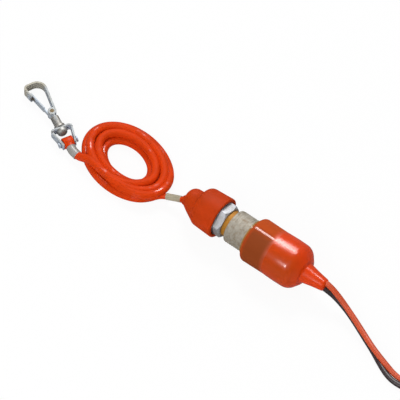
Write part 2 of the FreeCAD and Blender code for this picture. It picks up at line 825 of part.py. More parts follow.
def ring_terminal(route):
    """Crimp ring terminal: barrel, tongue and ring with the stud hole."""
    half = terminal_thickness / 2
    ring_place = terminal_barrel_length + terminal_tongue_length
    tongue_end = ring_place - (terminal_ring_diameter + terminal_hole_diameter) / 4
    barrel = rod(0, terminal_barrel_length, terminal_barrel_diameter / 2)
    tongue = plate((terminal_barrel_length / 2, -terminal_tongue_width / 2, -half),
                   (tongue_end, terminal_tongue_width / 2, half))
    disc = upright(ring_place, 0, terminal_ring_diameter / 2, -half, half)
    hole = upright(ring_place, 0, terminal_hole_diameter / 2, -half, half)
    shape = barrel.fuse([tongue, disc]).removeSplitter().cut(hole)
    shape.Placement = terminal_frame(route)
    return shape


def terminal_sleeve(route):
    """Insulating sleeve over the terminal's barrel."""
    outside = rod(0, terminal_sleeve_length, terminal_sleeve_diameter / 2)
    inside = rod(0, terminal_sleeve_length, terminal_barrel_diameter / 2 + fit_clearance)
    shape = outside.cut(inside)
    shape.Placement = terminal_frame(route)
    return shape


switch_pieces = {
    "rubber_boot": rubber_boot(),
    "threaded_bushing": threaded_bushing(),
    "panel_nut": panel_nut(),
    "switch_can": switch_can(),
    "insulating_liner": insulating_liner(),
    "contact_blade_left": blade(-1),
    "contact_blade_right": blade(1),
    "terminal_base": terminal_base(),
    "plunger": plunger(),
    "plunger_o_ring": plunger_o_ring(),
    "contact_bridge": contact_bridge(),
    "retaining_clip": retaining_clip(),
    "return_spring": return_spring(),
    "cap_shell": cap_shell(),
    "cap_insert": cap_insert(),
    "snap_ring": snap_ring(),
    "cord_anchor": cord_anchor(),
    "inner_lead_red": inner_lead(1),
    "inner_lead_black": inner_lead(-1),
}
hook_pieces = {
    "hook_strip": hook_strip(),
    "gate_leaf": gate_leaf(),
    "gate_pin": gate_pin(),
    "swivel_post": swivel_post(),
    "swivel_bow": swivel_bow(),
    "bow_pin": bow_pin(),
    "lanyard_eye": lanyard_eye(),
}
pieces = {
    "lanyard_cap_tail": cord("lanyard_cap_tail", cap_tail_route, core_diameter),
    "lanyard_coil": lanyard_coil(),
    "lanyard_hook_tail": cord("lanyard_hook_tail", hook_tail_route, cord_diameter),
    "sleeve_cap_end": sleeve(cap_tail_route[:3], cap_sleeve_shares, core_diameter),
    "sleeve_hook_end": sleeve(hook_tail_route[3:], hook_sleeve_shares, cord_diameter),
    "lead_red": cord("lead_red", red_lead_route, lead_diameter),
    "lead_black": cord("lead_black", black_lead_route, lead_diameter),
    "ring_terminal_red": ring_terminal(red_lead_route),
    "ring_terminal_black": ring_terminal(black_lead_route),
    "terminal_sleeve_red": terminal_sleeve(red_lead_route),
    "terminal_sleeve_black": terminal_sleeve(black_lead_route),
}
for name, shape in switch_pieces.items():
    pieces[name] = seated(shape)
for name, shape in hook_pieces.items():
    pieces[name] = hooked(shape)

os.makedirs("parts", exist_ok=True)
for name, shape in pieces.items():
    shape.exportStep(f"parts/{name}.step")
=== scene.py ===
"""Looks of the outboard kill switch: switch body, kill cap, coiled lanyard, snap hook and leads.

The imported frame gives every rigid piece. This script dresses those pieces, moulds the boot and the cap
smooth, lays the lanyard and the two leads as cords, cuts the threads, and sets the studio and the camera.
"""

import json
import logging
import math
from dataclasses import dataclass, field
from enum import Enum

import bmesh
import bpy
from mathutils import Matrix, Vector


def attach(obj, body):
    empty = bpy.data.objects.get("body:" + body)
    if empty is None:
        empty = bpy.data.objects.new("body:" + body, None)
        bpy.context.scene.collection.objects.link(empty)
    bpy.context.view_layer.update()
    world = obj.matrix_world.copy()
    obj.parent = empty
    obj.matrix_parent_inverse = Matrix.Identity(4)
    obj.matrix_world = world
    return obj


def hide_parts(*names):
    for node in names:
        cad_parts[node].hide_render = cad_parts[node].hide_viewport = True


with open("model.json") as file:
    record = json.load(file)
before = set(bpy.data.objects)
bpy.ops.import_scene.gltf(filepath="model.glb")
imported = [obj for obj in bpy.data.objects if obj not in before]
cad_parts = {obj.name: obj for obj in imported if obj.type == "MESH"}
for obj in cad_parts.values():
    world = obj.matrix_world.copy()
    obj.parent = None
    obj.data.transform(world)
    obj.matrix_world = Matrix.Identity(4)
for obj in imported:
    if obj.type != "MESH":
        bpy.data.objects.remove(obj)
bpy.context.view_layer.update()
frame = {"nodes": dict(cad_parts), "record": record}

log = logging.getLogger("kill_switch")

Colour = tuple[float, float, float]
Point = tuple[float, float, float]
Range = tuple[float, float]
Socket = bpy.types.NodeSocket

MM = 0.001
MOUNTS: dict[str, Vector] = {mount["name"]: Vector(mount["pos_m"]) for mount in frame["record"]["mounts"]}
SEAT_PLACE = MOUNTS["panel_seat"].x
AXIS_HEIGHT = MOUNTS["panel_neck"].z

ALONG = Vector((1, 0, 0))
ACROSS = Vector((0, 1, 0))
UP = Vector((0, 0, 1))
WHITE = (1.0, 1.0, 1.0, 1.0)

# Sockets of a Mix node for its two colours and for its result
MIX_COLOURS = (6, 7)
MIX_RESULT = 2

# Making of meshes and cords
WELD_REACH = 0.002 * MM
SHARP_ANGLE = math.radians(34)
EASE_ANGLE = math.radians(40)
EASE_STEPS = 2
MELT_SHARE = 0.5
CORD_ORDER = 3
CORD_STEPS = 8
CORD_ROUNDNESS = 6


class Body(Enum):
    """Bodies of the frame that pieces ride on."""

    SWITCH = "switch"
    CAP = "kill_cap"
    BOW = "bow"
    HOOK = "hook"
    GATE = "gate"


class Slot(Enum):
    """Material slots of the record."""

    BOOT = "red_rubber"
    CAP = "red_cap"
    CORD = "red_cord"
    SLEEVE = "clear_sleeve"
    PLATED = "plated_steel"
    BARREL = "zinc_barrel"
    STRIP = "bright_strip"
    TIN = "terminal_tin"
    LEAD_RED = "lead_red"
    LEAD_BLACK = "lead_black"


class Side(Enum):
    """The two leads of the switch."""

    RED = "red"
    BLACK = "black"


class Light(Enum):
    """What a lamp does to a surface."""

    FULL = "lights it and is mirrored in it"
    FILL = "lights it only"
    GLOSS = "is mirrored in it only"


def from_seat(point: Point) -> Vector:
    """Point of the frame, from millimetres behind the panel seat, across the switch and over the floor."""
    return Vector((SEAT_PLACE + point[0] * MM, point[1] * MM, point[2] * MM))


def smooth(share: float) -> float:
    """Share that is held at 0 and 1 and eases in and out between them."""
    held = min(max(share, 0.0), 1.0)
    return held * held * (3 - 2 * held)


class NodeSheet:
    """Node tree of a material or of the room, with short calls for its nodes."""

    def __init__(self, owner: bpy.types.Material | bpy.types.World) -> None:
        """Starts an empty tree.

        Args:
            owner: Material or room that the tree belongs to.
        """
        owner.use_nodes = True
        self.tree = owner.node_tree
        self.tree.nodes.clear()

    def add(self, kind: str, **values: object) -> bpy.types.Node:
        """Adds a node.

        Args:
            kind: Blender's name of the node's type.
            values: Values of its sockets by name, with _ for a space, or its own properties.

        Returns:
            The new node.
        """
        node = self.tree.nodes.new(kind)
        for key, value in values.items():
            socket = node.inputs.get(key.replace("_", " "))
            if socket is None:
                setattr(node, key, value)
            elif isinstance(value, Socket):
                self.tree.links.new(value, socket)
            else:
                socket.default_value = value
        return node

    def place(self) -> Socket:
        """Place on the piece, in metres of the frame."""
        return self.add("ShaderNodeTexCoord").outputs["Object"]

    def noise(self, scale: float, detail: float = 3.0, rough: float = 0.55) -> Socket:
        """Cloudy value from 0 to 1, by clouds in a metre, number of finer layers and their strength."""
        return self.add("ShaderNodeTexNoise", Vector=self.place(), Scale=scale, Detail=detail,
                        Roughness=rough).outputs[0]

    def spread(self, value: Socket, low: float, high: float, to_low: float = 0.0,
               to_high: float = 1.0) -> Socket:
        """Maps a value from one range to another, held at its ends."""
        return self.add("ShaderNodeMapRange", Value=value, From_Min=low, From_Max=high, To_Min=to_low,
                        To_Max=to_high).outputs[0]

    def sum(self, operation: str, first: Socket, second: Socket | float) -> Socket:
        """Joins two values.

        Args:
            operation: Blender's name of the sum, such as MULTIPLY.
            first: First value.
            second: Second value.

        Returns:
            The result.
        """
        node = self.add("ShaderNodeMath", operation=operation)
        self.tree.links.new(first, node.inputs[0])
        if isinstance(second, Socket):
            self.tree.links.new(second, node.inputs[1])
        else:
            node.inputs[1].default_value = second
        return node.outputs[0]

    def blend(self, share: Socket, first: Colour | Socket, second: Colour | Socket) -> Socket:
        """Mixes two colours.

        Args:
            share: Share of the second colour.
            first: Colour at share 0.
            second: Colour at share 1.

        Returns:
            The mixed colour.
        """
        node = self.add("ShaderNodeMix", data_type="RGBA")
        self.tree.links.new(share, node.inputs[0])
        for socket, colour in zip(MIX_COLOURS, (first, second)):
            if isinstance(colour, Socket):
                self.tree.links.new(colour, node.inputs[socket])
            else:
                node.inputs[socket].default_value = (*colour, 1.0)
        return node.outputs[MIX_RESULT]

    def measure(self, operation: str, place: Socket, other: Vector) -> Socket:
        """Number from a place and a fixed vector.

        Args:
            operation: Blender's name of the vector sum, such as DISTANCE.
            place: The place.
            other: The fixed vector.

        Returns:
            The number.
        """
        node = self.add("ShaderNodeVectorMath", operation=operation)
        self.tree.links.new(place, node.inputs[0])
        node.inputs[1].default_value = other
        return node.outputs["Value"]

    def along(self, way: Vector, start: Vector) -> Socket:
        """Distance from a start along a unit direction, in metres."""
        return self.sum("SUBTRACT", self.measure("DOT_PRODUCT", self.place(), way), way.dot(start))

    def beside(self, way: Vector, middle: Vector) -> Socket:
        """Distance to either side of a middle, along a unit direction, in metres."""
        return self.sum("ABSOLUTE", self.along(way, middle), 0.0)

    def near(self, point: Vector, inner: float, outer: float) -> Socket:
        """Share that is 1 up to the inner distance from a point and 0 from the outer one on, in metres."""
        return self.spread(self.measure("DISTANCE", self.place(), point), inner, outer, 1.0, 0.0)

    def bump(self, height: Socket, depth: float, strength: float) -> Socket:
        """Bent normal from a height of 0 to 1, with the depth of the full height in metres."""
        return self.add("ShaderNodeBump", Height=height, Distance=depth, Strength=strength).outputs[0]


@dataclass(frozen=True)
class Finish:
    """A surface as one procedural material: two tones in patches, a spread of gloss and a fine grain.

    Patches and grain are counted in a metre, and the depth of the grain is in metres.
    """

    name: str
    colour: Colour
    tone: Colour
    gloss: Range
    metallic: float = 0.0
    patch: float = 120.0
    grain: float = 1500.0
    grain_depth: float = 0.00002
    specular: float = 0.5
    patch_edges: Range = (0.35, 0.68)
    gloss_edges: Range = (0.3, 0.7)
    gloss_fineness: float = 2.3
    gloss_detail: float = 4.0
    grain_detail: float = 2.0
    grain_strength: float = 0.35

    def base(self, sheet: NodeSheet) -> Socket:
        """Colour: two tones in patches."""
        return sheet.blend(sheet.spread(sheet.noise(self.patch), *self.patch_edges), self.colour, self.tone)

    def roughness(self, sheet: NodeSheet) -> Socket:
        """Roughness: uneven within its spread."""
        pattern = sheet.noise(self.patch * self.gloss_fineness, self.gloss_detail)
        return sheet.spread(pattern, *self.gloss_edges, *self.gloss)

    def shine(self, sheet: NodeSheet) -> Socket | float:
        """Strength of the mirrored light: the same all over."""
        return self.specular

    def relief(self, sheet: NodeSheet) -> Socket:
        """Bent normal of the fine grain."""
        return sheet.bump(sheet.noise(self.grain, self.grain_detail), self.grain_depth, self.grain_strength)

    def material(self) -> bpy.types.Material:
        """Makes the finish a material, once.

        Returns:
            The material.
        """
        name = self.name + "_finish"
        made = bpy.data.materials.get(name)
        if made is not None:
            return made
        made = bpy.data.materials.new(name)
        sheet = NodeSheet(made)
        shader = sheet.add("ShaderNodeBsdfPrincipled", Base_Color=self.base(sheet), Metallic=self.metallic,
                           Roughness=self.roughness(sheet), Normal=self.relief(sheet),
                           Specular_IOR_Level=self.shine(sheet))
        sheet.add("ShaderNodeOutputMaterial", Surface=shader.outputs[0])
        return made

    def dress(self, node: str) -> None:
        """Gives the finish to a node of the frame.

        Args:
            node: Name of the node.
        """
        mesh = frame["nodes"][node].data
        mesh.materials.clear()
        mesh.materials.append(self.material())
        log.info("%s dressed in %s", node, self.name)


@dataclass(frozen=True)
class BootFinish(Finish):
    """Glossy moulded boot with a duller bare field low on its front half and painted shade at its front lip.

    Places along the boot are from the panel seat, and reaches are from its axis or its seam, in millimetres.
    """

    lip_end: float = 12.7
    lip_fade: float = 0.5
    # Painted shade at the front lip, where the boot meets the barrel
    lip_painted_shade: Colour = (0.34, 0.16, 0.035)
    half_place: float = 26.2
    half_fade: float = 4.0
    front_gloss: float = 0.88
    front_specular: float = 0.12
    front_colour: Colour = (0.47, 0.062, 0.003)
    # Painted shade on the boot's low side: its turn about the axis, its reach from the axis and its colour
    low_turn: float = 150.0
    low_reach: Range = (4.0, 13.0)
    low_painted_shade: Colour = (0.45, 0.049, 0.002)
    field_start: float = 14.1
    field_start_fade: float = 2.4
    field_end_fade: float = 2.6
    field_reach: Range = (4.4, 8.8)
    field_colour: Colour = (0.25, 0.046, 0.007)
    uneven: float = 0.7
    uneven_patch: float = 260.0
    uneven_detail: float = 4.0
    uneven_edges: Range = (0.3, 0.7)
    seam_side: float = -0.3
    seam_reach: Range = (0.44, 0.88)
    polish_fade: float = 3.0

    def behind(self, sheet: NodeSheet, place: float, width: float) -> Socket:
        """Share of the surface behind a place along the boot, with the change's width, in millimetres."""
        distance = sheet.along(ALONG, from_seat((place, 0, 0)))
        return sheet.spread(distance, -width * MM / 2, width * MM / 2)

    def low_side(self, sheet: NodeSheet, reach: Range) -> Socket:
        """Share of the boot's low side, with an uneven edge.

        Args:
            sheet: Material that is being made.
            reach: Distances from the axis towards the low side where the share is 0 and 1, in millimetres.

        Returns:
            The share.
        """
        turn = math.radians(self.low_turn)
        side = sheet.along(Vector((0, math.cos(turn), math.sin(turn))), AXIS_HEIGHT * UP)
        pattern = sheet.noise(self.uneven_patch, self.uneven_detail)
        uneven = sheet.spread(pattern, *self.uneven_edges, -self.uneven * MM, self.uneven * MM)
        return sheet.spread(sheet.sum("ADD", side, uneven), reach[0] * MM, reach[1] * MM)

    def bare_field(self, sheet: NodeSheet) -> Socket:
        """Share of the bare field, low on the front half.

        Args:
            sheet: Material that is being made.

        Returns:
            1 on the field, 0 off it.
        """
        low = self.low_side(sheet, self.field_reach)
        front = sheet.sum("SUBTRACT", self.behind(sheet, self.field_start, self.field_start_fade),
                          self.behind(sheet, self.half_place, self.field_end_fade))
        return sheet.sum("MULTIPLY", low, front)

    def base(self, sheet: NodeSheet) -> Socket:
        """Colour: painted shade at the lip, bare field, deeper front half, painted shade on the low side and
        a bright rest.

        Args:
            sheet: Material that is being made.

        Returns:
            The colour.
        """
        rear = self.behind(sheet, self.half_place, self.half_fade)
        halves = sheet.blend(rear, self.front_colour, super().base(sheet))
        # Painted shade darkens the boot's low side
        rest = sheet.blend(self.low_side(sheet, self.low_reach), halves, self.low_painted_shade)
        skin = sheet.blend(self.bare_field(sheet), rest, self.field_colour)
        # Painted shade tints the front lip
        return sheet.blend(self.behind(sheet, self.lip_end, self.lip_fade), self.lip_painted_shade, skin)

    def polished(self, sheet: NodeSheet) -> Socket:
        """Share of the polished surface: the rear half and the mould seam along the top of the front half.

        Args:
            sheet: Material that is being made.

        Returns:
            1 where it is polished, 0 where it is dull.
        """
        side = sheet.beside(ACROSS, self.seam_side * MM * ACROSS)
        seam = sheet.spread(side, self.seam_reach[0] * MM, self.seam_reach[1] * MM, 1.0, 0.0)
        return sheet.sum("MAXIMUM", seam, self.behind(sheet, self.half_place, self.polish_fade))

    def roughness(self, sheet: NodeSheet) -> Socket:
        """Roughness: glossy where it is polished, dull elsewhere."""
        return sheet.spread(self.polished(sheet), 0.0, 1.0, self.front_gloss, self.gloss[0])

    def shine(self, sheet: NodeSheet) -> Socket | float:
        """Mirrored light: full where it is polished, faint elsewhere."""
        return sheet.spread(self.polished(sheet), 0.0, 1.0, self.front_specular, self.specular)


@dataclass(frozen=True)
class CastFinish(Finish):
    """Rough cast barrel: pale metal with dark flecks, and a gilded neck in front, in millimetres."""

    fleck_colour: Colour = (0.22, 0.15, 0.08)
    fleck_patch: float = 430.0
    fleck_detail: float = 5.0
    fleck_rough: float = 0.7
    fleck_edges: Range = (0.50, 0.68)
    fleck_share: float = 0.7
    gilt_colour: Colour = (0.42, 0.18, 0.015)
    gilt_end: float = 0.1
    gilt_fade: float = 0.3

    def base(self, sheet: NodeSheet) -> Socket:
        """Colour: patches, flecks and the gilded neck.

        Args:
            sheet: Material that is being made.

        Returns:
            The colour.
        """
        pattern = sheet.noise(self.fleck_patch, self.fleck_detail, self.fleck_rough)
        flecks = sheet.spread(pattern, *self.fleck_edges, 0.0, self.fleck_share)
        body = sheet.blend(flecks, super().base(sheet), self.fleck_colour)
        place = sheet.along(ALONG, from_seat((self.gilt_end, 0, 0)))
        cast = sheet.spread(place, -self.gilt_fade * MM, self.gilt_fade * MM)
        return sheet.blend(cast, self.gilt_colour, body)


@dataclass(frozen=True)
class GlintFinish(Finish):
    """Smooth cord that is dull for the most part and glossy in short patches."""

    glint: float = 97.0
    glint_detail: float = 2.0
    glint_edges: Range = (0.54, 0.62)
    dull_specular: float = 0.04

    def glints(self, sheet: NodeSheet, dull: float, bright: float) -> Socket:
        """Value that is dull for the most part and bright in the patches."""
        return sheet.spread(sheet.noise(self.glint, self.glint_detail), *self.glint_edges, dull, bright)

    def roughness(self, sheet: NodeSheet) -> Socket:
        """Roughness: dull, with glossy patches."""
        return self.glints(sheet, self.gloss[1], self.gloss[0])

    def shine(self, sheet: NodeSheet) -> Socket | float:
        """Mirrored light: faint, with bright patches."""
        return self.glints(sheet, self.dull_specular, self.specular)


@dataclass(frozen=True)
class StripFinish(Finish):
    """Rolled strip of the snap hook: grey faces, painted shade on its edge faces, tan bend, a painted shadow
    at the tip.

    Places are from the panel seat, and reaches from the hook's own place or from the tip, in millimetres.
    """

    hook_place: Point = (-107.5, -4.2, 3.1)
    hook_turn: float = 153.0
    bend_reach: Range = (27.1, 30.1)
    bend_share: float = 0.8
    bend_colour: Colour = (0.42, 0.37, 0.27)
    # Painted shade on the strip's top and bottom edge faces
    edge_reach: Range = (1.95, 2.2)
    edge_share: float = 0.6
    edge_painted_shade: Colour = (0.25, 0.24, 0.20)
    # Painted shadow at the tip, where the gate meets it
    tip_place: Point = (-132.4, 2.4, 3.1)
    tip_reach: Range = (1.0, 2.2)
    tip_painted_shadow: Colour = (0.14, 0.115, 0.09)

    def base(self, sheet: NodeSheet) -> Socket:
        """Colour: patches, tan bend, painted shade on the edge faces and a painted shadow at the tip.

        Args:
            sheet: Material that is being made.

        Returns:
            The colour.
        """
        turn = math.radians(self.hook_turn)
        start = from_seat(self.hook_place)
        place = sheet.along(Vector((math.cos(turn), math.sin(turn), 0)), start)
        bend = sheet.spread(place, self.bend_reach[0] * MM, self.bend_reach[1] * MM, 0.0, self.bend_share)
        tanned = sheet.blend(bend, super().base(sheet), self.bend_colour)
        # Painted shade darkens the strip's top and bottom edge faces
        rise = sheet.beside(UP, start)
        edge = sheet.spread(rise, self.edge_reach[0] * MM, self.edge_reach[1] * MM, 0.0, self.edge_share)
        edged = sheet.blend(edge, tanned, self.edge_painted_shade)
        # Painted shadow at the hook's tip
        tip = sheet.near(from_seat(self.tip_place), self.tip_reach[0] * MM, self.tip_reach[1] * MM)
        return sheet.blend(tip, edged, self.tip_painted_shadow)


# Finishes: name, two tones, range of roughness
BOOT_RED = BootFinish("boot_red", (0.72, 0.050, 0.002), (0.64, 0.045, 0.002), (0.22, 0.26), patch=70.0,
                      grain=900.0, specular=0.32)
CAP_RED = Finish("cap_red", (0.52, 0.042, 0.002), (0.44, 0.038, 0.002), (0.52, 0.62), patch=110.0,
                 grain=1400.0, specular=0.05)
CORD_RED = GlintFinish("cord_red", (0.665, 0.047, 0.002), (0.585, 0.043, 0.002), (0.16, 0.58), patch=160.0,
                       grain=700.0, specular=0.3)
SLEEVE_GREY = Finish("sleeve_grey", (0.43, 0.39, 0.28), (0.33, 0.29, 0.20), (0.26, 0.36), patch=300.0)
SLEEVE_PALE = Finish("sleeve_pale", (0.33, 0.32, 0.31), (0.27, 0.255, 0.225), (0.3, 0.4), patch=300.0,
                     specular=0.3)
PLATED = Finish("plated_steel", (0.45, 0.46, 0.49), (0.38, 0.375, 0.36), (0.60, 0.70), metallic=0.6,
                patch=260.0, grain=900.0, specular=0.3)
STRIP = StripFinish("bright_strip", (0.50, 0.57, 0.67), (0.42, 0.45, 0.48), (0.66, 0.78), metallic=0.4,
                    patch=200.0, grain=900.0, specular=0.2)
RIVET = Finish("rivet_brown", (0.16, 0.115, 0.06), (0.10, 0.07, 0.035), (0.55, 0.7), metallic=0.3,
               patch=300.0, grain=2600.0, specular=0.2)
POST = Finish("post_steel", (0.31, 0.31, 0.30), (0.24, 0.22, 0.19), (0.5, 0.62), metallic=0.6, patch=240.0,
              grain=900.0, specular=0.3)
BARREL = CastFinish("cast_barrel", (0.39, 0.355, 0.295), (0.30, 0.27, 0.22), (0.6, 0.72), metallic=0.2,
                    patch=420.0, grain=1300.0, grain_depth=0.00008, specular=0.3)
BRASS = Finish("brass_parts", (0.72, 0.50, 0.20), (0.58, 0.38, 0.13), (0.22, 0.34), metallic=1.0, patch=240.0)
SPRING = Finish("spring_steel", (0.58, 0.58, 0.58), (0.48, 0.47, 0.46), (0.25, 0.36), metallic=1.0,
                patch=220.0)
DARK = Finish("dark_moulding", (0.10, 0.050, 0.025), (0.07, 0.035, 0.018), (0.45, 0.6), patch=180.0)
PALE = Finish("pale_moulding", (0.68, 0.66, 0.60), (0.60, 0.57, 0.50), (0.36, 0.48), patch=180.0)
SEAL = Finish("seal_rubber", (0.030, 0.030, 0.030), (0.020, 0.020, 0.020), (0.5, 0.65), patch=300.0)
LEAD_RED = Finish("lead_red", (0.62, 0.084, 0.026), (0.55, 0.073, 0.021), (0.40, 0.50), patch=140.0,
                  grain_depth=0.000004, specular=0.2)
LEAD_BLACK = Finish("lead_black", (0.050, 0.034, 0.036), (0.034, 0.026, 0.028), (0.36, 0.46), patch=140.0,
                    grain_depth=0.000004, specular=0.3)
TIN = Finish("terminal_tin", (0.62, 0.62, 0.61), (0.52, 0.51, 0.48), (0.26, 0.38), metallic=1.0, patch=260.0)


def spline_piece(name: str, points: list[Vector], radius: float, finish: Finish,
                 shares: list[float] | None = None) -> bpy.types.Object:
    """Round cord along one smooth spline.

    Args:
        name: Name of the piece.
        points: Control points in the frame.
        radius: Radius of the cord.
        finish: Its finish.
        shares: Share of the radius at each of the first points, where the cord is thinner.

    Returns:
        The new curve object.
    """
    curve = bpy.data.curves.new(name, "CURVE")
    curve.dimensions = "3D"
    spline = curve.splines.new("NURBS")
    spline.points.add(len(points) - 1)
    for slot, point in zip(spline.points, points):
        slot.co = (*point, 1.0)
    for slot, share in zip(spline.points, shares or []):
        slot.radius = share
    spline.order_u = CORD_ORDER
    spline.use_endpoint_u = True
    spline.resolution_u = CORD_STEPS
    curve.bevel_depth = radius
    curve.bevel_resolution = CORD_ROUNDNESS
    curve.use_fill_caps = True
    curve.materials.append(finish.material())
    piece = bpy.data.objects.new(name, curve)
    bpy.context.scene.collection.objects.link(piece)
    return piece


def mesh_piece(name: str, mesh: bpy.types.Mesh, finish: Finish, body: Body) -> bpy.types.Object:
    """Puts a mesh into the scene as a piece that rides on a body.

    Args:
        name: Name of the piece.
        mesh: Its mesh, in the frame.
        finish: Its finish.
        body: Body that carries it.

    Returns:
        The new object.
    """
    mesh.name = name
    mesh.materials.clear()
    mesh.materials.append(finish.material())
    mesh.polygons.foreach_set("use_smooth", [True] * len(mesh.polygons))
    mesh.set_sharp_from_angle(angle=SHARP_ANGLE)
    piece = bpy.data.objects.new(name, mesh)
    bpy.context.scene.collection.objects.link(piece)
    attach(piece, body.value)
    log.info("%s made", name)
    return piece


def plain_mesh(holder: bpy.types.Object) -> bpy.types.Mesh:
    """Turns an object with modifiers into a plain mesh and removes the object.

    Args:
        holder: The object.

    Returns:
        The mesh that its modifiers give.
    """
    graph = bpy.context.evaluated_depsgraph_get()
    mesh = bpy.data.meshes.new_from_object(holder.evaluated_get(graph))
    bpy.data.objects.remove(holder)
    return mesh


def welded(node: str) -> bpy.types.Object:
    """Copy of a node with its loose triangles welded.

    Args:
        node: Name of the node.

    Returns:
        A new object that still has to be made a piece.
    """
    shell = bmesh.new()
    shell.from_mesh(frame["nodes"][node].data)
    bmesh.ops.remove_doubles(shell, verts=shell.verts, dist=WELD_REACH)
    mesh = bpy.data.meshes.new(node + "_welded")
    shell.to_mesh(mesh)
    shell.free()
    holder = bpy.data.objects.new(node + "_maker", mesh)
    bpy.context.scene.collection.objects.link(holder)
    return holder


def eased(node: str, finish: Finish, body: Body, edge: float) -> bpy.types.Object:
    """Stands a smooth copy with eased edges in a node's place.

    Args:
        node: Name of the node.
        finish: Finish of the copy.
        body: Body that carries it.
        edge: Width of its eased edges, in millimetres.

    Returns:
        The new piece.
    """
    holder = welded(node)
    bevel = holder.modifiers.new("edges", "BEVEL")
    bevel.width = edge * MM
    bevel.segments = EASE_STEPS
    bevel.limit_method = "ANGLE"
    bevel.angle_limit = EASE_ANGLE
    piece = mesh_piece(node + "_eased", plain_mesh(holder), finish, body)
    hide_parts(node)
    return piece


def softened(node: str, finish: Finish, body: Body, cell: float, rounds: int,
             added: bpy.types.Mesh) -> bpy.types.Object:
    """Stands a copy with melted edges, as of soft moulded rubber, in a node's place.

    Args:
        node: Name of the node.
        finish: Finish of the copy.
        body: Body that carries it.
        cell: Size of the copy's faces, in millimetres.
        rounds: Number of smoothing rounds.
        added: Closed form that melts into the copy.

    Returns:
        The new piece.
    """
    holder = welded(node)
    both = bmesh.new()
    both.from_mesh(holder.data)
    both.from_mesh(added)
    both.to_mesh(holder.data)
    both.free()
    skin = holder.modifiers.new("skin", "REMESH")
    skin.mode = "VOXEL"
    skin.voxel_size = cell * MM
    melt = holder.modifiers.new("melt", "SMOOTH")
    melt.factor = MELT_SHARE
    melt.iterations = rounds
    piece = mesh_piece(node + "_soft", plain_mesh(holder), finish, body)
    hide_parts(node)
    return piece


@dataclass
class TurnedSkin:
    """Closed skin turned about the switch's axis.

    Each corner is its place from the panel seat, its radius and its rounding, in millimetres. The turned form
    may sag out of the axis.
    """

    corners: list[Point]
    sides: int = 112
    arc_steps: int = 10
    sag: Point = (0.0, 0.0, 0.0)

    def outline(self) -> list[Vector]:
        """Profile with its corners rounded.

        Returns:
            Points of place and radius.
        """
        path = []
        count = len(self.corners)
        for index, (place, radius, rounding) in enumerate(self.corners):
            here = Vector((place, radius))
            if rounding == 0:
                path.append(here)
                continue
            before = (Vector(self.corners[index - 1][:2]) - here).normalized()
            after = (Vector(self.corners[(index + 1) % count][:2]) - here).normalized()
            half = before.angle(after) / 2
            reach = rounding / math.tan(half)
            centre = here + (before + after).normalized() * (rounding / math.sin(half))
            first, last = here + before * reach - centre, here + after * reach - centre
            for step in range(self.arc_steps + 1):
                share = step / self.arc_steps
                spoke = (first * (1 - share) + last * share).normalized()
                path.append(centre + spoke * rounding)
        return path

    def mesh(self) -> bpy.types.Mesh:
        """Turns the profile.

        Returns:
            The new mesh, in the frame.
        """
        shell = bmesh.new()
        shift = AXIS_HEIGHT * UP + Vector(self.sag) * MM
        rings = []
        for place, radius in self.outline():
            # A corner on the axis is a single vertex
            spokes = self.sides if radius > 0 else 1
            ring = []
            for side in range(spokes):
                angle = 2 * math.pi * side / self.sides
                point = from_seat((place, radius * math.cos(angle), radius * math.sin(angle)))
                ring.append(shell.verts.new(point + shift))
            rings.append(ring)
        for ring, following in zip(rings, rings[1:] + rings[:1]):
            if len(ring) == len(following) == 1:
                continue
            for side in range(self.sides):
                after = (side + 1) % self.sides
                corners = [ring[side % len(ring)], ring[after % len(ring)],
                           following[after % len(following)], following[side % len(following)]]
                shell.faces.new(list(dict.fromkeys(corners)))
        bmesh.ops.recalc_face_normals(shell, faces=shell.faces)
        mesh = bpy.data.meshes.new("turned")
        shell.to_mesh(mesh)
        shell.free()
        return mesh


